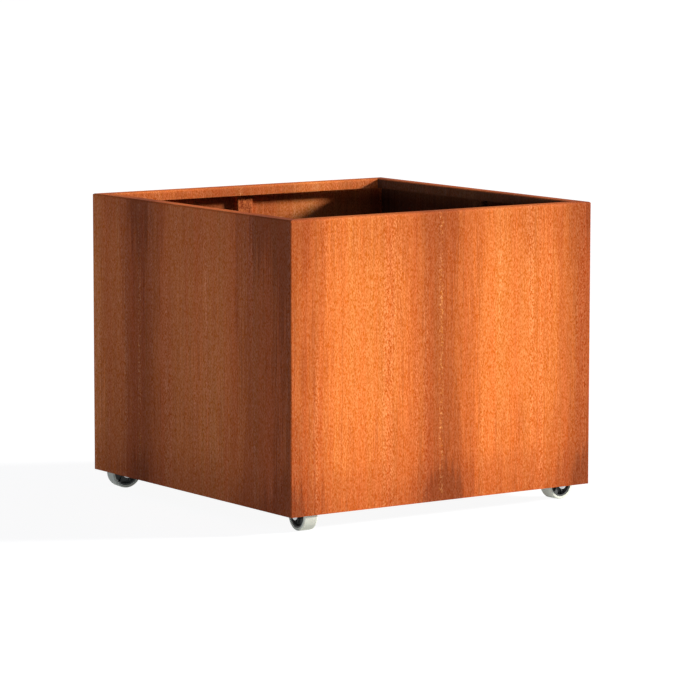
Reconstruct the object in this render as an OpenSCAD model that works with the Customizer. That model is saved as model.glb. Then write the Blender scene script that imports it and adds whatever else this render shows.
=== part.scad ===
// Rolling planter: a square box of weathering steel on four swivel casters.
// Millimetres. +Z is up, and the origin is on the ground under the middle of the box.
// The front wall faces -Y and the left wall faces -X.

/* [Box] */
// Outer width of the box, left to right
body_w = 900; // [600:10:1200]
// Outer depth of the box, front to back
body_d = 900; // [600:10:1200]
// Height of the walls, from their lower edge to the rim
wall_h = 708; // [300:1:900]
// Gap between the walls' lower edge and the ground
skirt_gap = 42; // [25:1:70]
// Thickness of the weathering steel sheet
sheet_t = 3; // [2:0.5:4]
// Outer radius of the two folds along the rim
fold_r = 6; // [5:0.5:8]
// Outer radius of the ground weld at each upright corner
corner_r = 3; // [1:0.5:5]
// How far the rim reaches inward from the outer face
rim_depth = 40; // [32:1:80]
// Height of the rim's down-turned lip
rim_drop = 24; // [12:1:40]

/* [Stiffening posts] */
// Width of the channel welded up the middle of each wall
post_w = 50; // [30:1:60]
// How far the channel stands off the wall
post_d = 18; // [12:1:24]
// Outer radius of the channel's bends
channel_r = 5; // [4.5:0.5:6]

/* [Floor] */
// Radius of a drain hole
drain_r = 10; // [5:1:15]
// Distance between the outer drain holes
drain_pitch = 440; // [240:10:460]
// Width of the channels under the floor
rib_w = 50; // [40:1:60]
// Height of the channels under the floor
rib_h = 25; // [15:1:30]
// Distance between the two channels under the floor
rib_pitch = 300; // [240:10:320]

/* [Caster mounting] */
// Height of a caster, from the ground to the top of its plate
caster_h = 108; // [104:1:130]
// Thickness of the pad welded in each corner above a caster
pad_t = 6; // [4:0.5:10]
// Gap that the turning wheel leaves to the walls
swing_gap = 2.4; // [1.5:0.1:10]
// Length of the caster's top plate
plate_l = 100; // [96:1:110]
// Width of the caster's top plate
plate_w = 80; // [76:1:90]
// Thickness of the caster's top plate
plate_t = 3; // [2.5:0.5:4]
// Corner radius of the caster's top plate
plate_corner_r = 8; // [4:1:9]
// Hole spacing along the top plate
hole_l = 80; // [78:1:84]
// Hole spacing across the top plate
hole_w = 60; // [58:1:64]
// Radius of the mounting bolts and of the axle bolt
bolt_r = 4; // [3:0.5:4]
// How far the axle bolt's end stands out of its nut
bolt_end = 1.5; // [0.5:0.5:4]

/* [Caster fork] */
// Distance from the swivel axis back to the axle
trail = 20; // [15:1:30]
// Thickness of the fork's pressed steel
fork_t = 3; // [2:0.5:3.5]
// Outer radius of the fork's bends
fork_bend_r = 6; // [5:0.5:8]
// Radius of the round end of each fork leg
leg_end_r = 14; // [12:0.5:18]
// Half the width of each fork leg at its top
leg_top = 24; // [20:1:26]
// Radius of the fork's round head
head_r = 30; // [28:0.5:32]
// Radius of the kingpin
kingpin_r = 6; // [5:0.5:8]
// How far the kingpin's head reaches past the pin
kingpin_rim = 5; // [4:0.5:6]
// Thickness of the kingpin's head
kingpin_head_h = 5; // [3:0.5:6]
// How far the fork's legs run straight down before they taper
leg_straight = 7; // [4:0.5:12]
// Space between the top plate and the fork's head, which the ball race fills
race_h = 7; // [6:0.5:8]
// Width of the ball race, across its washer
race_w = 12; // [10:0.5:14]
// Thickness of the ball race's washer
washer_t = 1.5; // [1:0.25:2]
// Thickness of the cap around the ball race
cap_wall = 2; // [1.5:0.25:3]
// Gap between the ball race and its cap
cap_gap = 2; // [1:0.25:3]

/* [Wheel] */
// Radius of the wheel over its tyre
wheel_r = 40; // [36:0.5:41]
// Width of the tyre
tyre_w = 36; // [30:0.5:40]
// Thickness of the tyre's tread
tread_t = 6.5; // [6:0.5:10]
// Radius of the tyre's shoulders
shoulder_r = 2.5; // [2:0.5:5]
// Gap between the tyre and each fork leg
leg_gap = 2; // [1:0.25:4]
// Outer radius of the steel bush that the wheel turns on
bush_r = 6; // [5.5:0.25:8]
// Outer radius of the wheel's hub
hub_r = 11; // [10:0.5:13]
// Thickness of the wheel's web
web_t = 6; // [4:0.5:8]
// Thickness of the wheel's rim
rim_t = 3.5; // [3:0.25:4.5]
// How far the tyre's sides reach past the wheel's rim, on each side
rim_inset = 2; // [1:0.25:4]
// Height of the key around the rim that holds the tyre
key_h = 1.2; // [0.8:0.1:2]
// Thickness of the wheel's ribs
rib_t = 2; // [1.5:0.25:3]
// Number of ribs on each side of the wheel's web
wheel_ribs = 6; // [3:1:10]

/* [Casters at rest] */
// Direction in which the front left wheel trails, in degrees
turn_front_left = 266; // [0:1:359]
// Direction in which the front right wheel trails, in degrees
turn_front_right = 6; // [0:1:359]
// Direction in which the back right wheel trails, in degrees
turn_back_right = 120; // [0:1:359]
// Direction in which the back left wheel trails, in degrees
turn_back_left = 174; // [0:1:359]

/* [Hidden] */
$fn = 64;
// Clearances
running_gap = 0.05;
bolt_gap = 0.05;
plate_hole_gap = 0.25;
turning_gap = 0.3;
fit_gap = 0.2;
// Overlap that lets a cut pass right through
over = 1;

// Box
inner_w = body_w - 2 * sheet_t;
inner_d = body_d - 2 * sheet_t;
rim_z = skirt_gap + wall_h;
floor_z = caster_h + pad_t;
floor_top = floor_z + sheet_t;
post_top = rim_z - sheet_t;

// Casters
swing_r = norm([trail + wheel_r, tyre_w / 2]);
pad_w = 2 * (swing_r + swing_gap);
plate_z = caster_h - plate_t;
head_z = plate_z - race_h;
bolt_head_r = bolt_r * 1.876;
bolt_head_h = bolt_r * 1.325;
nut_h = bolt_r * 1.625;
bolt_hole_r = bolt_r + bolt_gap;
plate_hole_r = bolt_r + plate_hole_gap;
kingpin_hole_r = kingpin_r + running_gap;
kingpin_head_r = kingpin_r + kingpin_rim;
leg_in = tyre_w / 2 + leg_gap;
leg_out = leg_in + fork_t;
leg_shoulder_z = head_z - fork_t - leg_straight;

// Ball race
race_out_r = head_r - cap_wall - cap_gap;
race_in_r = race_out_r - race_w;
race_mid_r = (race_in_r + race_out_r) / 2;
ball_r = race_h / 2 - turning_gap;
ball_count = floor(360 / (2 * asin((ball_r + turning_gap) / race_mid_r)));

// Wheel
bush_bore_r = bolt_r + running_gap;
core_bore_r = bush_r + running_gap;
hub_w = tyre_w + leg_gap;
rim_out_r = wheel_r - tread_t;
rim_w = tyre_w - 2 * rim_inset;
key_w = rim_w / 3;
rib_len = rim_out_r - rim_t / 2 - (hub_r + core_bore_r) / 2;
rim_rib_w = rim_w / 2;

// Each caster: its name, the corner that it stands in, and its direction at rest
CASTERS = [
    ["front_left", [-1, -1], turn_front_left],
    ["front_right", [1, -1], turn_front_right],
    ["back_right", [1, 1], turn_back_right],
    ["back_left", [-1, 1], turn_back_left]
];
CASTER_PIECES = [
    "pad", "top_plate", "plate_bolts", "kingpin", "ball_race",
    "fork", "axle_bolt", "axle_nut", "bush", "wheel_core", "tyre"
];
BOX_PIECES = [
    "front_wall", "right_wall", "back_wall", "left_wall",
    "front_post", "right_post", "back_post", "left_post",
    "floor_plate", "front_floor_rib", "back_floor_rib"
];

// ---- Shapes that repeat -------------------------------------------------

// A rectangle with round corners, around the origin
module rounded_rect(w, h, r) {
    square([w - 2 * r, h], center = true);
    square([w, h - 2 * r], center = true);
    for (x = [-1, 1]) {
        for (y = [-1, 1]) {
            translate([x * (w / 2 - r), y * (h / 2 - r)]) circle(r);
        }
    }
}

// A quarter of a bent sheet, whose centre of bending is the origin, towards -X +Y
module bend(r, t) {
    intersection() {
        difference() {
            circle(r);
            circle(r - t);
        }
        translate([-r, 0]) square(r);
    }
}

// A channel's section: its web along X at the top, its legs down to Y = 0
module channel_section(w, d, t, r) {
    for (side = [0, 1]) {
        mirror([side, 0]) {
            translate([-w / 2 + r, d - r]) bend(r, t);
            translate([-w / 2, 0]) square([t, d - r]);
        }
    }
    translate([-w / 2 + r, d - t]) square([w - 2 * r, t]);
}

// A hexagon nut or bolt head around Z, chamfered at its upper end
module hexagon(r, h) {
    face_r = 0.95 * r * cos(30);
    reach = r + over;
    intersection() {
        cylinder(r = r, h = h, $fn = 6);
        rotate_extrude() polygon([
            [0, 0],
            [reach, 0],
            [reach, h - (reach - face_r) * tan(30)],
            [face_r, h],
            [0, h]
        ]);
    }
}

// A ring around Z
module ring(out_r, in_r, h, z = 0) {
    translate([0, 0, z]) {
        difference() {
            cylinder(r = out_r, h = h);
            translate([0, 0, -over]) cylinder(r = in_r, h = h + 2 * over);
        }
    }
}

// Puts children in the middle of one wall, with +Y pointing into the box.
// The quarter turns are 0 front, 1 right, 2 back and 3 left.
module at_wall(quarter) {
    half = quarter % 2 == 0 ? body_d / 2 : body_w / 2;
    rotate([0, 0, 90 * quarter]) translate([0, -half, 0]) children();
}

// Puts children on a caster's swivel axis, square to the box
module at_corner(corner) {
    x = inner_w / 2 - pad_w / 2;
    y = inner_d / 2 - pad_w / 2;
    translate([corner[0] * x, corner[1] * y, 0]) children();
}

// Puts children on the axle of a caster that trails along +X, with +Z along the axle
module on_axle() {
    translate([trail, 0, wheel_r]) rotate([90, 0, 0]) children();
}

// Copies children to a caster's four mounting holes
module at_plate_holes() {
    for (x = [-hole_l / 2, hole_l / 2]) {
        for (y = [-hole_w / 2, hole_w / 2]) {
            translate([x, y, 0]) children();
        }
    }
}

// ---- Box ------------------------------------------------------------------

// Section of a wall: the sheet stands at X = 0 and folds inward, then down, at the rim
module wall_section() {
    square([sheet_t, wall_h - fold_r]);
    translate([fold_r, wall_h - fold_r]) bend(fold_r, sheet_t);
    translate([fold_r, wall_h - sheet_t]) square([rim_depth - 2 * fold_r, sheet_t]);
    translate([rim_depth - fold_r, wall_h - fold_r]) mirror([1, 0]) bend(fold_r, sheet_t);
    translate([rim_depth - sheet_t, wall_h - rim_drop]) square([sheet_t, rim_drop - fold_r]);
}

// A wall of the given length, mitred at 45 degrees against its neighbours
module wall(length, quarter) {
    reach = rim_depth + over;
    mitre = [
        [-length / 2, 0],
        [length / 2, 0],
        [length / 2 - reach, reach],
        [-length / 2 + reach, reach]
    ];
    color("#b5643a") intersection() {
        at_wall(quarter) translate([-length / 2, 0, skirt_gap]) {
            rotate([90, 0, 90]) linear_extrude(length) wall_section();
        }
        at_wall(quarter) linear_extrude(rim_z + over) polygon(mitre);
        linear_extrude(rim_z + over) rounded_rect(body_w, body_d, corner_r);
    }
}

// The channel that stiffens the middle of a wall, from the floor to the rim.
// Its legs are notched at the top, where the rim's fold would meet them.
module post(quarter) {
    post_h = post_top - floor_top;
    notch = fold_r - sheet_t + fit_gap;
    color("#8a4a2c") at_wall(quarter) translate([0, sheet_t, floor_top]) {
        difference() {
            linear_extrude(post_h) channel_section(post_w, post_d, sheet_t, channel_r);
            translate([-post_w, -over, post_h - notch]) {
                cube([2 * post_w, notch + over, notch + over]);
            }
        }
    }
}

module floor_plate() {
    color("#7a4228") difference() {
        translate([-inner_w / 2, -inner_d / 2, floor_z]) cube([inner_w, inner_d, sheet_t]);
        translate([0, 0, floor_z - over]) {
            cylinder(r = drain_r, h = sheet_t + 2 * over);
            for (x = [-1, 1]) {
                for (y = [-1, 1]) {
                    translate([x * drain_pitch / 2, y * drain_pitch / 2, 0]) {
                        cylinder(r = drain_r, h = sheet_t + 2 * over);
                    }
                }
            }
        }
    }
}

// A channel under the floor, open upward, from the left wall to the right one
module floor_rib(side) {
    color("#7a4228") translate([-inner_w / 2, side * rib_pitch / 2, floor_z]) {
        rotate([90, 0, 90]) linear_extrude(inner_w) {
            mirror([0, 1]) channel_section(rib_w, rib_h, sheet_t, channel_r);
        }
    }
}

// ---- Casters: what stays with the box ----------------------------------------

// A thick pad, welded into the corner under the floor, with four tapped holes
module pad() {
    color("#7a4228") difference() {
        translate([-pad_w / 2, -pad_w / 2, caster_h]) cube([pad_w, pad_w, pad_t]);
        at_plate_holes() translate([0, 0, caster_h - over]) {
            cylinder(r = bolt_hole_r, h = pad_t + 2 * over);
        }
    }
}

// The pressed top plate, with a round cap around the ball race
module top_plate() {
    color("#c9ccce") {
        difference() {
            translate([0, 0, plate_z]) linear_extrude(plate_t) {
                rounded_rect(plate_l, plate_w, plate_corner_r);
            }
            translate([0, 0, plate_z - over]) cylinder(r = kingpin_r, h = plate_t + 2 * over);
            at_plate_holes() translate([0, 0, plate_z - over]) {
                cylinder(r = plate_hole_r, h = plate_t + 2 * over);
            }
        }
        ring(head_r, head_r - cap_wall, plate_z - head_z - turning_gap, head_z + turning_gap);
    }
}

// Four hexagon bolts, screwed up through the plate into the pad
module plate_bolts() {
    color("#d6d8da") at_plate_holes() {
        translate([0, 0, plate_z]) mirror([0, 0, 1]) hexagon(bolt_head_r, bolt_head_h);
        translate([0, 0, plate_z - over]) cylinder(r = bolt_r, h = floor_z - plate_z + over);
    }
}

// The pin that the fork swivels on, riveted in the top plate, with a domed head below
module kingpin() {
    head_top = head_z - fork_t - turning_gap;
    dome_r = (pow(kingpin_head_r, 2) + pow(kingpin_head_h, 2)) / (2 * kingpin_head_h);
    color("#d6d8da") {
        translate([0, 0, head_top - kingpin_head_h]) intersection() {
            translate([0, 0, dome_r]) sphere(dome_r);
            cylinder(r = kingpin_head_r + over, h = kingpin_head_h);
        }
        translate([0, 0, head_top - over]) cylinder(r = kingpin_r, h = caster_h - head_top + over);
    }
}

// ---- Casters: what swivels ---------------------------------------------------

// The lower washer of the ball race and its balls, resting on the fork's head
module ball_race() {
    color("#b9bcbf") {
        ring(race_out_r, race_in_r, washer_t, head_z);
        for (i = [0 : ball_count - 1]) {
            rotate([0, 0, i * 360 / ball_count]) {
                translate([race_mid_r, 0, head_z + ball_r + turning_gap / 2]) sphere(ball_r);
            }
        }
    }
}

// Where a line from a point touches a circle: side 1 is the left one, -1 the right one
function tangent_point(from, centre, r, side) =
    let(away = from - centre)
    let(angle = atan2(away[1], away[0]) + side * acos(r / norm(away)))
    centre + r * [cos(angle), sin(angle)];

// Side view of a fork leg: a broad top that runs down to a round end at the axle
module leg_outline() {
    axle = [trail, wheel_r];
    front = [leg_top, leg_shoulder_z];
    back = [-leg_top, leg_shoulder_z];
    translate(axle) circle(leg_end_r);
    polygon([
        [-leg_top, head_z],
        back,
        tangent_point(back, axle, leg_end_r, 1),
        axle,
        tangent_point(front, axle, leg_end_r, -1),
        front,
        [leg_top, head_z]
    ]);
}

// The fork, pressed from one strip: a round head and two legs
module fork() {
    color("#cfd2d4") difference() {
        union() {
            translate([0, 0, head_z - fork_t]) cylinder(r = head_r, h = fork_t);
            intersection() {
                translate([-2 * head_r, 0, 0]) rotate([90, 0, 90]) linear_extrude(4 * head_r) {
                    channel_section(2 * leg_out, head_z, fork_t, fork_bend_r);
                }
                rotate([90, 0, 0]) linear_extrude(3 * leg_out, center = true) leg_outline();
            }
        }
        translate([0, 0, head_z - fork_t - over]) cylinder(r = kingpin_hole_r, h = fork_t + 2 * over);
        on_axle() cylinder(r = bolt_hole_r, h = 3 * leg_out, center = true);
    }
}

// The axle bolt: its head is outside the leg on the -Y side
module axle_bolt() {
    end = leg_out + nut_h + bolt_end;
    color("#d6d8da") on_axle() {
        translate([0, 0, -end]) cylinder(r = bolt_r, h = end + leg_out + over);
        translate([0, 0, leg_out]) hexagon(bolt_head_r, bolt_head_h);
    }
}

module axle_nut() {
    color("#d6d8da") on_axle() difference() {
        translate([0, 0, -leg_out]) mirror([0, 0, 1]) hexagon(bolt_head_r, nut_h);
        translate([0, 0, -leg_out - nut_h - over]) cylinder(r = bolt_hole_r, h = nut_h + 2 * over);
    }
}

// The steel bush, clamped between the legs, that the wheel turns on
module bush() {
    color("#b9bcbf") on_axle() ring(bush_r, bush_bore_r, 2 * leg_in, -leg_in);
}

// ---- Casters: what rolls -------------------------------------------------------

// The moulded wheel: hub, web, rim, and ribs on both sides of the web
module wheel_core() {
    color("#26272a") on_axle() difference() {
        union() {
            cylinder(r = hub_r, h = hub_w, center = true);
            cylinder(r = rim_out_r - rim_t / 2, h = web_t, center = true);
            ring(rim_out_r, rim_out_r - rim_t, rim_w, -rim_w / 2);
            ring(rim_out_r + key_h, rim_out_r - rim_t / 2, key_w, -key_w / 2);
            for (i = [0 : wheel_ribs - 1]) {
                rotate([0, 0, i * 360 / wheel_ribs]) {
                    translate([(hub_r + core_bore_r) / 2, -rib_t / 2, -rim_rib_w / 2]) {
                        cube([rib_len, rib_t, rim_rib_w]);
                    }
                }
            }
        }
        cylinder(r = core_bore_r, h = 2 * hub_w, center = true);
    }
}

// The tyre: round shoulders outside, and a groove inside that the rim's key fills
module tyre() {
    color("#d9d9d4") on_axle() rotate_extrude($fn = 96) difference() {
        intersection() {
            translate([wheel_r - tread_t, 0]) rounded_rect(2 * tread_t, tyre_w, shoulder_r);
            translate([rim_out_r, -tyre_w]) square([wheel_r, 2 * tyre_w]);
        }
        translate([rim_out_r - over, -key_w / 2]) square([key_h + over, key_w]);
    }
}

// ---- The nodes -----------------------------------------------------------------

wall(body_w, 0);  // front_wall
wall(body_d, 1);  // right_wall
wall(body_w, 2);  // back_wall
wall(body_d, 3);  // left_wall
post(0);  // front_post
post(1);  // right_post
post(2);  // back_post
post(3);  // left_post
floor_plate();
floor_rib(-1);  // front_floor_rib
floor_rib(1);  // back_floor_rib
for (caster = CASTERS) {
    at_corner(caster[1]) {
        pad();
        top_plate();
        plate_bolts();
        rotate([0, 0, caster[2]]) {
            kingpin();
            ball_race();
            fork();
            axle_bolt();
            axle_nut();
            bush();
            wheel_core();
            tyre();
        }
    }
}
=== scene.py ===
# A square planter of weathering steel that rolls on four swivel casters, photographed on white.
# The script follows the planter as it is made: walls and rim, posts and floor, then the casters.
import math

import bmesh
import bpy
from mathutils import Matrix, Vector


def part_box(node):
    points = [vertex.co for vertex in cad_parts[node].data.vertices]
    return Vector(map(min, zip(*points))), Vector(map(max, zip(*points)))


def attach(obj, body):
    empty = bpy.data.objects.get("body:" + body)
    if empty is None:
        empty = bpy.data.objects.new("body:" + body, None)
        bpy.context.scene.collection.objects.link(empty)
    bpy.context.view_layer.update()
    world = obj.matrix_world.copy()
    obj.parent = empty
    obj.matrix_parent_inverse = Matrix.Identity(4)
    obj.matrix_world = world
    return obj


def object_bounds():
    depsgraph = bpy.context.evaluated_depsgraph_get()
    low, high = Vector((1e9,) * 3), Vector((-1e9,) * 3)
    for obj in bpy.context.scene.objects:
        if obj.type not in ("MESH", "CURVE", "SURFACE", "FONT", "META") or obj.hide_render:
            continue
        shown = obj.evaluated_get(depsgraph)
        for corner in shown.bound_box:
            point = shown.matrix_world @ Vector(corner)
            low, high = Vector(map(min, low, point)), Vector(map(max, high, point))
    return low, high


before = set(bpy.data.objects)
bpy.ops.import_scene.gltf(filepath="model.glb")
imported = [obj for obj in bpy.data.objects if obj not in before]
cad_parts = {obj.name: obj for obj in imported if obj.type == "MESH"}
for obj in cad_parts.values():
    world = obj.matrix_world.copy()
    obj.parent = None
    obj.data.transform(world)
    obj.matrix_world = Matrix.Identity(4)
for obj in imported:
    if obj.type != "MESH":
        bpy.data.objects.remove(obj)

cad_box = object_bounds()


# ---- Camera ------------------------------------------------------------------------------
# A long lens nearly ten metres away, looking down a little on the rim and turned so that the
# front wall shows broad and the left wall narrow. Its place was fitted to the box's corners.
scene = bpy.context.scene
wall_low, wall_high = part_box("front_wall")
box_width = cad_box[1].x - cad_box[0].x
azimuth = math.radians(34.93)
elevation = math.radians(7.3)
roll = math.radians(0.07)
camera_distance = 10.695 * box_width
aim_right = 0.030 * box_width
aim_up = -0.034 * box_width
focal_pixels = 3815.8
frame_pixels = 699

ahead = Vector((
    math.sin(azimuth) * math.cos(elevation),
    math.cos(azimuth) * math.cos(elevation),
    -math.sin(elevation),
))
level_right = ahead.cross(Vector((0, 0, 1))).normalized()
level_up = level_right.cross(ahead)
right = level_right * math.cos(roll) + level_up * math.sin(roll)
up = level_up * math.cos(roll) - level_right * math.sin(roll)
wall_middle = Vector((0, 0, (wall_low.z + wall_high.z) / 2))
eye = wall_middle - ahead * camera_distance + level_right * aim_right + level_up * aim_up

lens = bpy.data.cameras.new("camera")
lens.sensor_width = 36
lens.lens = focal_pixels / frame_pixels * lens.sensor_width
lens.clip_end = 100
camera = bpy.data.objects.new("camera", lens)
turn = Matrix((right, up, -ahead)).transposed()
camera.matrix_world = Matrix.Translation(eye) @ turn.to_4x4()
scene.collection.objects.link(camera)
scene.camera = camera


# ---- Studio ------------------------------------------------------------------------------
# One soft lamp on the right and in front, above the rim, and a weak level one on the left, over
# a pale floor that throws light back at the walls. The floor and the backdrop show as white,
# and the floor keeps the shadow.
scene.view_settings.view_transform = "Standard"


class Wire:
    """An output of a shader node. Arithmetic on it adds Math nodes to its material."""

    def __init__(self, tree, plug=None):
        self.tree = tree
        self.plug = plug

    def node(self, kind, settings=None, sockets=None, out=0):
        """Adds a node: its settings or a ramp's stops first, then its sockets' values or links."""
        made = self.tree.nodes.new(kind)
        for name, value in (settings or {}).items():
            if name == "stops":
                ramp = made.color_ramp
                ramp.interpolation = "EASE"
                while len(ramp.elements) < len(value):
                    ramp.elements.new(0.5)
                for stop, (place, colour) in zip(ramp.elements, value):
                    stop.position = place
                    stop.color = (*colour, 1) if isinstance(colour, tuple) else (colour,) * 3 + (1,)
            else:
                setattr(made, name, value)
        for name, value in (sockets or {}).items():
            if isinstance(value, Wire):
                self.tree.links.new(value.plug, made.inputs[name])
            else:
                made.inputs[name].default_value = value
        return Wire(self.tree, made.outputs[out] if len(made.outputs) else None)

    def maths(self, operation, *values):
        return self.node("ShaderNodeMath", {"operation": operation}, dict(enumerate(values)))

    def __add__(self, other):
        return self.maths("ADD", self, other)

    __radd__ = __add__

    def __sub__(self, other):
        return self.maths("SUBTRACT", self, other)

    def __rsub__(self, other):
        return self.maths("SUBTRACT", other, self)

    def __mul__(self, other):
        return self.maths("MULTIPLY", self, other)

    __rmul__ = __mul__

    def __truediv__(self, other):
        return self.maths("DIVIDE", self, other)

    def __gt__(self, other):
        return self.maths("GREATER_THAN", self, other)

    def __lt__(self, other):
        return self.maths("LESS_THAN", self, other)

    def __abs__(self):
        return self.maths("ABSOLUTE", self)

    def larger(self, other):
        return self.maths("MAXIMUM", self, other)

    def smaller(self, other):
        return self.maths("MINIMUM", self, other)


def seen_directly(tree):
    """1 for the camera's rays and for mirror and glass rays, 0 for the rays that carry light."""
    rays = Wire(tree).node("ShaderNodeLightPath").plug.node.outputs
    camera_ray, mirror_ray, glass_ray = (
        Wire(tree, rays[kind]) for kind in ("Is Camera Ray", "Is Glossy Ray", "Is Transmission Ray"))
    return camera_ray.larger(mirror_ray).larger(glass_ray)


world = bpy.data.worlds.new("studio")
world.use_nodes = True
world.node_tree.nodes.clear()
sky = Wire(world.node_tree)
room = sky.node("ShaderNodeBackground", None, {"Color": (0.70, 0.97, 1.40, 1), "Strength": 0.12})
backdrop = sky.node("ShaderNodeBackground", None, {"Color": (1, 1, 1, 1), "Strength": 1.0})
view = sky.node("ShaderNodeMixShader", None, {0: seen_directly(world.node_tree), 1: room, 2: backdrop})
sky.node("ShaderNodeOutputWorld", None, {"Surface": view})
scene.world = world

# Each lamp's strength, colour, width in degrees and the way its light travels.
lamps = {
    "softbox": (6.0, (1, 1, 1), 9, Vector((-2.01, 1.0, -0.745))),
    "left_lamp": (0.61, (0.95, 1.0, 1.15), 3, Vector((1.0, 0.60, -0.04))),
}
for name, (energy, colour, width_degrees, travel) in lamps.items():
    lamp = bpy.data.lights.new(name, "SUN")
    lamp.energy = energy
    lamp.color = colour
    lamp.angle = math.radians(width_degrees)
    holder = bpy.data.objects.new(name, lamp)
    holder.rotation_mode = "QUATERNION"
    holder.rotation_quaternion = travel.to_track_quat("-Z", "Y")
    scene.collection.objects.link(holder)

floor_half = 30.0
floor_mesh = bpy.data.meshes.new("studio_floor")
floor_mesh.from_pydata(
    [(-floor_half, -floor_half, 0), (floor_half, -floor_half, 0),
     (floor_half, floor_half, 0), (-floor_half, floor_half, 0)],
    [], [(0, 1, 2, 3)])
studio_floor = bpy.data.objects.new("studio_floor", floor_mesh)
scene.collection.objects.link(studio_floor)

paper = bpy.data.materials.new("floor_paper")
paper.use_nodes = True
paper.node_tree.nodes.clear()
sheet = Wire(paper.node_tree)
bounce = sheet.node("ShaderNodeBsdfDiffuse", None, {"Color": (0.8, 0.8, 0.8, 1)})
shade = sheet.node("ShaderNodeBsdfDiffuse", None, {"Color": (0.16, 0.16, 0.16, 1)})
glow = sheet.node("ShaderNodeEmission", None, {"Color": (1, 1, 1, 1), "Strength": 0.93})
white = sheet.node("ShaderNodeAddShader", None, {0: shade, 1: glow})
floor_look = sheet.node(
    "ShaderNodeMixShader", None, {0: seen_directly(paper.node_tree), 1: bounce, 2: white})
sheet.node("ShaderNodeOutputMaterial", None, {"Surface": floor_look})
floor_mesh.materials.append(paper)


# ---- Walls -------------------------------------------------------------------------------
# Four sheets of weathering steel, 3 mm thick, each folded in and down along the rim and
# welded to its neighbours at the corners. Rain has drawn the rust into upright bands.
def dress(node_name, material):
    """Gives a node of the frame its finish."""
    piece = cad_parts[node_name]
    piece.data.materials.clear()
    piece.data.materials.append(material)


def new_finish(name):
    """An empty node material and the wire that builds it."""
    finish = bpy.data.materials.new(name)
    finish.use_nodes = True
    finish.node_tree.nodes.clear()
    return finish, Wire(finish.node_tree)


def place_on(wire):
    """The point on the piece, in metres."""
    return wire.node("ShaderNodeTexCoord", out=3)


def parts_of(wire, point):
    """The three parts of a point."""
    parts = wire.node("ShaderNodeSeparateXYZ", None, {0: point}).plug.node.outputs
    return [Wire(wire.tree, part) for part in parts]


def grain(wire, point, stretch, scale, detail=3.0, roughness=0.55):
    """Cloudy noise from about 0.3 to 0.7, with the point stretched first."""
    stretched = wire.node("ShaderNodeVectorMath", {"operation": "MULTIPLY"}, {0: point, 1: stretch})
    return wire.node(
        "ShaderNodeTexNoise", None,
        {"Vector": stretched, "Scale": scale, "Detail": detail, "Roughness": roughness})


def surface(wire, colour, roughness, bumps, bump_height, **constants):
    """Ends a material: one Principled shader with its colour, roughness and bump wired in."""
    normal = wire.node(
        "ShaderNodeBump", None, {"Strength": 1.0, "Distance": bump_height, "Height": bumps})
    sockets = {"Base Color": colour, "Roughness": roughness, "Normal": normal}
    sockets.update({name.replace("_", " "): value for name, value in constants.items()})
    shader = wire.node("ShaderNodeBsdfPrincipled", None, sockets)
    wire.node("ShaderNodeOutputMaterial", None, {"Surface": shader})


def tinted(wire, colour, tint, share=1.0):
    """The colour multiplied by a tint."""
    return wire.node("ShaderNodeMix", {"data_type": "RGBA", "blend_type": "MULTIPLY"},
                     {0: share, 6: colour, 7: tint}, out=2)


def tinge(wire, amount, weights):
    """A tint near white that goes up and down with an amount, by a weight for each channel."""
    return wire.node(
        "ShaderNodeVectorMath", {"operation": "MULTIPLY_ADD"}, {0: amount, 1: weights, 2: (1, 1, 1)})


# How near a point lies to the outer face, the top of the rim or a mitre to count as on it, and
# how far in the outer rust still wraps the fold of the rim.
face_reach = 0.0002
rim_reach = 0.0005
mitre_reach = 0.002
wrap_depth = 0.0024
# The rim's top is tinted warmer, a painted shade in green and blue that offsets the pale sheen the
# light lays on it. The mitres are tinted as dark joint lines.
rim_top_shade_tint = (1.0, 0.92, 0.66, 1)
mitre_tint = (0.72, 0.70, 0.72, 1)

# How dark the painted shade inside is from the skirt up, darkest low down, and the rust itself from
# dark to bright.
inside_shade_colours = [
    (0.00, (0.50, 0.54, 0.58)),
    (0.60, (0.42, 0.47, 0.52)),
    (0.84, (0.72, 0.72, 0.72)),
    (1.00, (0.89, 0.86, 0.82)),
]
rust_colours = [
    (0.00, (0.200, 0.038, 0.010)),
    (0.25, (0.440, 0.090, 0.021)),
    (0.50, (0.620, 0.140, 0.031)),
    (0.75, (0.820, 0.206, 0.045)),
    (1.00, (0.980, 0.360, 0.100)),
]
rust_relief = 0.0003
rust_sheen = 0.15

# Each kind of mark on a wall: how far rain has drawn it down (1 is not at all, and less is
# longer), its waves per metre, and the detail and roughness of its noise.
wall_marks = {
    "wander": (0.10, 7.0, 2.0, 0.55),
    "strip": (0.025, 70.0, 3.0, 0.7),
    "cloud": (0.10, 11.0, 3.0, 0.55),
    "streak": (0.03, 220.0, 2.0, 0.6),
    "column": (0.02, 52.0, 1.0, 0.55),
    "speck": (0.46, 430.0, 1.0, 0.5),
    "hue": (0.03, 38.0, 2.0, 0.55),
    "pit": (1, 1300.0, 2.0, 0.55),
    "bead": (0.8, 290.0, 1.0, 0.55),
}

# How far the bands and the drip stray, in shares of the wall's width, how much the marks
# lighten or darken the rust, and where the specks gather in columns and the drip leaves beads.
band_wander = 0.05
band_fray = 0.13
drip_wander = 0.012
drip_half = 0.009
cloud_depth = 0.22
strip_depth = 0.15
streak_depth = 0.37
darkest_rust = 0.09
column_threshold = 0.08
column_gain = 6
column_top = 0.6
column_lift = 0.08
speck_base = 0.85
bead_threshold = 0.02

# How much each kind of mark tints the red, green and blue of the rust.
speck_weights = (0.85, 2.2, 5.7)
hue_weights = (-0.1, 0.32, 0.4)
pit_weights = (0.7, 0.9, 1.2)
bead_weights = (3.0, 8.0, 11.0)


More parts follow.
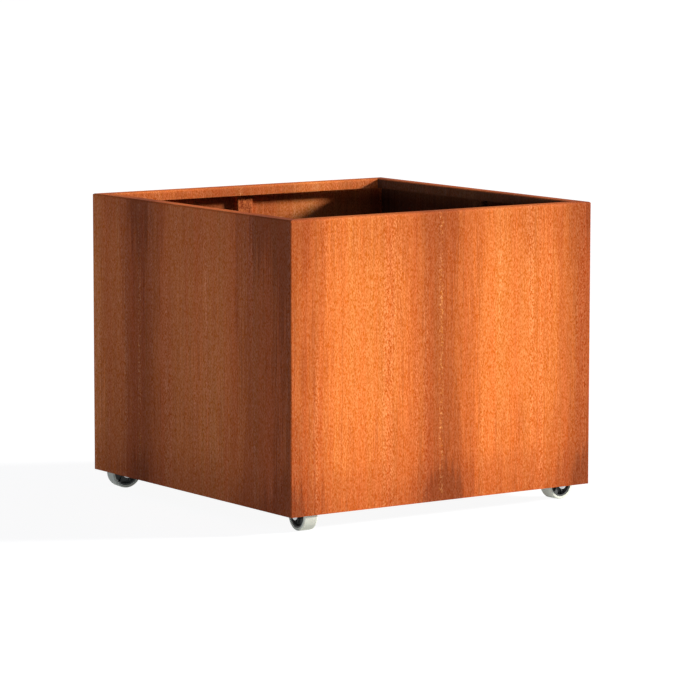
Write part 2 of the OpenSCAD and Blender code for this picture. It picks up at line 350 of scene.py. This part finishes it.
def corten(name, across, bands, drip, height_levels_and_shade, outer_light_tint, inside_shade_tint):
    """Rust with upright bands, as stops along the wall, painted light on the outer face and painted
    shade on the rim's top and inside.
    """
    finish, wire = new_finish(name)
    point = place_on(wire)
    parts = parts_of(wire, point)
    height = (parts[2] - wall_low.z) / (wall_high.z - wall_low.z)
    mark = {
        kind: grain(wire, point, (1, 1, drawn), waves, detail, roughness) - 0.5
        for kind, (drawn, waves, detail, roughness) in wall_marks.items()}

    # The bands wander and fray at their edges. Clouds, strips and streaks break them up.
    place = parts[across] / box_width + 0.5
    share = place + mark["wander"] * band_wander + mark["strip"] * band_fray
    band = wire.node("ShaderNodeValToRGB", {"stops": bands}, {0: share})
    # The height stops lighten and darken the rust toward the skirt and rim, partly painted shade and
    # light.
    level = wire.node("ShaderNodeValToRGB", {"stops": height_levels_and_shade}, {0: height})
    broken = (mark["cloud"] * cloud_depth + mark["strip"] * strip_depth
              + mark["streak"] * streak_depth)
    rust = (band + level - 0.5 + broken).larger(darkest_rust)
    colour = wire.node("ShaderNodeValToRGB", {"stops": rust_colours}, {0: rust})

    # Specks are stronger and yellower in narrow columns, the hue drifts along the wall, pits
    # cover it all, and one drip from the rim has left a string of light beads.
    column = ((mark["column"] - column_threshold).larger(0) * column_gain).smaller(column_top)
    speck = mark["speck"] * (column + speck_base) + column * column_lift
    off_drip = abs(place + mark["wander"] * drip_wander - drip)
    near_drip = ((1 - off_drip / drip_half).larger(0) * 2).smaller(1)
    string = near_drip * (mark["bead"] - bead_threshold).larger(0)
    for amount, weights in (
            (speck, speck_weights), (mark["hue"], hue_weights), (mark["pit"], pit_weights),
            (string, bead_weights)):
        colour = tinted(wire, colour, tinge(wire, amount, weights))

    # Masks pick out the outer face, the rim's top, its mitres and the inside. The outer face takes its
    # painted light tint, the rim's top its painted shade, the mitres a dark joint line, and the inside
    # the painted shade of its wall, darker lower down.
    reach = abs(parts[0]).larger(abs(parts[1]))
    outer_face = reach > box_width / 2 - face_reach
    rim_top = parts[2] > wall_high.z - rim_reach
    mitre = (abs(abs(parts[0]) - abs(parts[1])) < mitre_reach) * rim_top
    inside = (reach < box_width / 2 - wrap_depth) * (parts[2] < wall_high.z - wrap_depth)
    depth = wire.node("ShaderNodeValToRGB", {"stops": inside_shade_colours}, {0: height})
    for tint, mask in (
            (outer_light_tint, outer_face), (rim_top_shade_tint, rim_top), (mitre_tint, mitre),
            (tinted(wire, depth, inside_shade_tint), inside)):
        colour = tinted(wire, colour, tint, mask)
    surface(wire, colour, 0.97 - mark["streak"] * 0.3, mark["streak"] + speck + mark["pit"] * 0.5,
            rust_relief, Specular_IOR_Level=rust_sheen)
    return finish


# Each wall: the part of a point that runs along it, the painted light tint of its outer face
# (warmer on the lit front, cooler and darker on the shaded left), its bands from one end to the
# other, where its drip ran, and how light its rust is from the skirt up, which also paints shade
# toward the skirt and rim, and on the left wall paints light at the skirt against the floor's shadow.
wall_looks = {
    "front_wall": (
        0, (0.965, 0.965, 0.80, 1),
        [(0.00, 0.32), (0.19, 0.73), (0.34, 0.66), (0.49, 0.27), (0.65, 0.72), (0.84, 0.68),
         (1.00, 0.24)],
        0.490,
        [(0.00, 0.21), (0.20, 0.44), (0.40, 0.52), (0.70, 0.51), (1.00, 0.41)]),
    "left_wall": (
        1, (0.87, 1.02, 1.35, 1),
        [(0.00, 0.09), (0.13, 0.22), (0.34, 0.57), (0.54, 0.59), (0.76, 0.20), (0.90, 0.49),
         (1.00, 0.68)],
        0.753,
        [(0.00, 0.41), (0.18, 0.53), (0.40, 0.53), (0.70, 0.49), (1.00, 0.37)]),
    "right_wall": (
        1, (1.0, 1.0, 1.0, 1),
        [(0.00, 0.20), (0.16, 0.44), (0.30, 0.24), (0.52, 0.47), (0.80, 0.43), (1.00, 0.18)],
        0.300,
        [(0.00, 0.26), (0.20, 0.46), (0.45, 0.52), (0.75, 0.50), (1.00, 0.42)]),
    "back_wall": (
        0, (1.0, 1.0, 0.9, 1),
        [(0.00, 0.28), (0.12, 0.66), (0.28, 0.66), (0.46, 0.48), (0.60, 0.60), (0.74, 0.84),
         (0.90, 0.60), (1.00, 0.26)],
        0.470,
        [(0.00, 0.22), (0.20, 0.44), (0.45, 0.52), (0.75, 0.50), (1.00, 0.46)]),
}

# The painted shade on each wall's inside, which its post shares: dark and greyish on the front,
# right and left walls, which dims and cools the shade inside the box, and light on the back wall.
inside_shade_tints = {
    "front": (0.34, 0.56, 0.92, 1),
    "right": (0.27, 0.44, 0.76, 1),
    "back": (0.91, 0.915, 0.95, 1),
    "left": (0.45, 0.80, 1.20, 1),
}
for wall, (across, outer_light_tint, bands, drip, height_levels_and_shade) in wall_looks.items():
    inside_shade_tint = inside_shade_tints[wall.split("_")[0]]
    dress(wall, corten(wall + "_rust", across, bands, drip, height_levels_and_shade, outer_light_tint, inside_shade_tint))


# ---- Posts, floor and pads ---------------------------------------------------------------
# Folded channels of the same steel stiffen the walls and the floor, and thick pads carry
# the casters. Their rust is darker and more even, and the posts also take the painted shade of
# the inside of their wall.
def dulled_and_shaded_rust(name, level, depth_stops, tint=(1, 1, 1, 1)):
    """Cloudy rust around a level, darkened by stops from the skirt to the rim and by a tint, which on
    the posts are painted shade.
    """
    finish, wire = new_finish(name)
    point = place_on(wire)
    parts = parts_of(wire, point)
    height = (parts[2] - wall_low.z) / (wall_high.z - wall_low.z)
    cloud = grain(wire, point, (1, 1, 0.5), 12.0, 4.0) - 0.5
    speck = (grain(wire, point, (1, 1, 0.5), 400.0, 3.0, 0.6) - 0.5) * 1.5
    colour = wire.node("ShaderNodeValToRGB", {"stops": rust_colours}, {0: level + cloud * 0.5})
    flecked = tinted(wire, colour, tinge(wire, speck, (2.0, 3.0, 3.6)))
    depth = wire.node("ShaderNodeValToRGB", {"stops": depth_stops}, {0: height})
    colour = tinted(wire, flecked, tinted(wire, depth, tint))
    surface(wire, colour, 0.95 - speck * 0.2, speck + cloud, rust_relief,
            Specular_IOR_Level=rust_sheen)
    return finish


CORNERS = ("front_left", "front_right", "back_right", "back_left")
under_colours = [(0.0, (0.62, 0.64, 0.66)), (1.0, (0.66, 0.66, 0.66))]
floor_rust = dulled_and_shaded_rust("floor_rust", 0.36, under_colours, (0.75, 0.95, 1.3, 1))
under_rust = dulled_and_shaded_rust("under_rust", 0.40, under_colours)
# Each post takes the painted shade of its wall's inside.
for side, tint in inside_shade_tints.items():
    dress(side + "_post", dulled_and_shaded_rust(side + "_post_rust", 0.43, inside_shade_colours, tint))
dress("floor_plate", floor_rust)
for side in ("front", "back"):
    dress(side + "_floor_rib", under_rust)
for corner in CORNERS:
    dress(corner + "_pad", under_rust)


# ---- Welds -------------------------------------------------------------------------------
# Hand-laid fillet welds hold the sheets together inside and below, and have rusted with them:
# long runs round the floor, up the corners and round the pads, and short ones along the
# posts and the floor channels.
weld_leg = 0.0045
weld_ripple = 0.0045
weld_root = 0.0004
weld_swell = (0.90, 1.06, 1.00)
weld_end = 0.55
crown_height = 0.5
crown_shares = (0.0, 0.3, 0.7, 1.0)
end_clearance = 0.004
stitch_length = 0.040
post_stitches = 4
post_stitch_pitch = 0.150
post_stitch_foot = 0.020
rib_stitches = 6
rib_stitch_pitch = 0.140
rib_stitch_stagger = 0.020
rib_stitch_start = -0.010


def lay_weld(metal, start, end, out_a, out_b):
    """Adds one rippled bead in the corner between two sheets, which run out_a and out_b."""
    rings = []
    run = end - start
    count = max(4, round(run.length / weld_ripple * len(weld_swell)))
    for step in range(count + 1):
        leg = weld_leg * weld_swell[step % len(weld_swell)]
        if step in (0, count):
            leg = weld_leg * weld_end
        root = start + run * (step / count) - (out_a + out_b) * weld_root
        ring = [root]
        for share in crown_shares:
            crown = (out_a + out_b) * (leg * crown_height * share * (1 - share))
            ring.append(root + out_a * (leg * (1 - share)) + out_b * (leg * share) + crown)
        rings.append([metal.verts.new(point) for point in ring])
    size = len(rings[0])
    for before, after in zip(rings, rings[1:]):
        for side in range(size):
            near, far = side, (side + 1) % size
            metal.faces.new((before[near], before[far], after[far], after[near]))
    metal.faces.new(reversed(rings[0]))
    metal.faces.new(rings[-1])


def finish_welds(name, metal):
    """Turns the laid beads into a piece that belongs to the planter."""
    bmesh.ops.recalc_face_normals(metal, faces=metal.faces[:])
    for face in metal.faces:
        face.smooth = len(face.verts) == 4
    mesh = bpy.data.meshes.new(name)
    metal.to_mesh(mesh)
    metal.free()
    mesh.materials.append(weld_rust)
    piece = bpy.data.objects.new(name, mesh)
    scene.collection.objects.link(piece)
    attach(piece, "planter")


weld_rust = dulled_and_shaded_rust("weld_rust", 0.34, under_colours, (0.9, 0.95, 1, 1))
floor_low, floor_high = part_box("floor_plate")
post_low, post_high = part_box("back_post")
inner = floor_high.x
post_half = post_high.x
post_deep = inner - post_low.y
UP = Vector((0, 0, 1))

# The four walls: the way out through each, and the way along it.
sides = [
    (Vector((math.cos(angle), math.sin(angle), 0)), Vector((-math.sin(angle), math.cos(angle), 0)))
    for angle in (0, math.pi / 2, math.pi, math.pi * 1.5)]

# Round the floor, down both edges and along the foot of each post, and up each corner.
floor_runs = bmesh.new()
corner_runs = bmesh.new()
post_runs = bmesh.new()
for outward, beside in sides:
    wall_foot = outward * inner + UP * floor_high.z
    for way in (-1, 1):
        post_edge = wall_foot + beside * (post_half * way)
        lay_weld(floor_runs, post_edge, wall_foot + beside * (inner * way), -outward, UP)
        for stitch in range(post_stitches):
            start = post_edge + UP * (post_stitch_foot + post_stitch_pitch * stitch)
            lay_weld(post_runs, start, start + UP * stitch_length, -outward, beside * way)
    post_foot = outward * (inner - post_deep) + UP * floor_high.z
    half_run = beside * (post_half - end_clearance)
    lay_weld(post_runs, post_foot - half_run, post_foot + half_run, -outward, UP)
    corner_foot = (outward + beside) * inner + UP * floor_high.z
    corner_run = UP * (post_high.z - end_clearance - floor_high.z)
    lay_weld(corner_runs, corner_foot, corner_foot + corner_run, -outward, -beside)
finish_welds("floor_welds", floor_runs)
finish_welds("corner_welds", corner_runs)
finish_welds("post_welds", post_runs)

pad_runs = bmesh.new()
for corner in CORNERS:
    low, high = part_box(corner + "_pad")
    middle = (low + high) / 2
    towards = (Vector((-math.copysign(1, middle.x), 0, 0)),
               Vector((0, -math.copysign(1, middle.y), 0)))
    half = (high.x - low.x) / 2
    # Its inner edges are welded to the floor above it, its outer edges to the walls beside it.
    for edge, along in (towards, towards[::-1]):
        start = middle + edge * half - along * half
        start.z = floor_low.z
        lay_weld(pad_runs, start, start + along * (2 * half), edge, -UP)
        start = middle - edge * half - along * half
        start.z = low.z
        lay_weld(pad_runs, start, start + along * (2 * half), edge, -UP)
finish_welds("pad_welds", pad_runs)

# Short welds along both edges of each floor channel, staggered from one edge to the other.
rib_runs = bmesh.new()
for side in ("front", "back"):
    low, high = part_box(side + "_floor_rib")
    for edge, way in ((low.y, -1), (high.y, 1)):
        for stitch in range(rib_stitches):
            middle = rib_stitch_pitch * (stitch - (rib_stitches - 1) / 2) - rib_stitch_stagger * way
            start = Vector((middle + rib_stitch_start, edge, floor_low.z))
            run = Vector((stitch_length, 0, 0))
            lay_weld(rib_runs, start, start + run, Vector((0, way, 0)), -UP)
finish_welds("rib_welds", rib_runs)


# ---- Caster plates, forks and bolts ------------------------------------------------------
# Plates and forks pressed from sheet and turned bolts, zinc plated to a silver with faint
# clouds and tool marks. Four bolts hold each plate under its pad, and a kingpin holds the fork
# under the plate, on a race of bare ground steel.
def zinc(name, silver, rough):
    """Plated or bare steel of a given brightness and roughness."""
    finish, wire = new_finish(name)
    point = place_on(wire)
    cloud = grain(wire, point, (1, 1, 1), 60.0, 3.0) - 0.5
    scratch = grain(wire, point, (1, 1, 0.2), 900.0, 2.0) - 0.5
    tint = wire.node(
        "ShaderNodeMix", {"data_type": "RGBA"},
        {0: cloud + 0.5, 6: (silver * 0.88, silver * 0.89, silver * 0.90, 1),
         7: (silver, silver, silver * 0.98, 1)}, out=2)
    surface(wire, tint, rough + cloud * 0.25 + scratch * 0.1, scratch, 0.00003, Metallic=0.9)
    return finish


zinc_plate = zinc("zinc_plate", 0.66, 0.42)
ground_steel = zinc("ground_steel", 0.55, 0.28)
for corner in CORNERS:
    for piece in ("top_plate", "plate_bolts", "kingpin", "fork", "axle_bolt", "axle_nut"):
        dress(f"{corner}_{piece}", zinc_plate)
    for piece in ("ball_race", "bush"):
        dress(f"{corner}_{piece}", ground_steel)


# ---- Wheels ------------------------------------------------------------------------------
# A ribbed core moulded in black plastic turns on each axle bolt, and a smooth tyre of light
# grey rubber is keyed to it.
def moulded_black(name):
    """Hard black plastic with a little dust."""
    finish, wire = new_finish(name)
    point = place_on(wire)
    fine = grain(wire, point, (1, 1, 1), 900.0, 2.0) - 0.5
    dust = grain(wire, point, (1, 1, 1), 70.0, 3.0) - 0.5
    colour = wire.node(
        "ShaderNodeMix", {"data_type": "RGBA"},
        {0: dust + 0.5, 6: (0.034, 0.036, 0.032, 1), 7: (0.070, 0.072, 0.066, 1)}, out=2)
    surface(wire, colour, 0.48 + dust * 0.3, fine, 0.00004)
    return finish


def grey_rubber(name):
    """Matt light grey rubber, scuffed where it rolls."""
    finish, wire = new_finish(name)
    point = place_on(wire)
    scuff = grain(wire, point, (1, 1, 1), 120.0, 4.0) - 0.5
    fine = grain(wire, point, (1, 1, 1), 1200.0, 2.0) - 0.5
    colour = wire.node(
        "ShaderNodeMix", {"data_type": "RGBA"},
        {0: scuff * 1.5 + 0.5, 6: (0.60, 0.61, 0.50, 1), 7: (0.72, 0.73, 0.60, 1)}, out=2)
    surface(wire, colour, 0.55 + scuff * 0.3, fine + scuff, 0.00005)
    return finish


core_plastic = moulded_black("moulded_black")
tyre_rubber = grey_rubber("grey_rubber")
for corner in CORNERS:
    dress(corner + "_wheel_core", core_plastic)
    dress(corner + "_tyre", tyre_rubber)
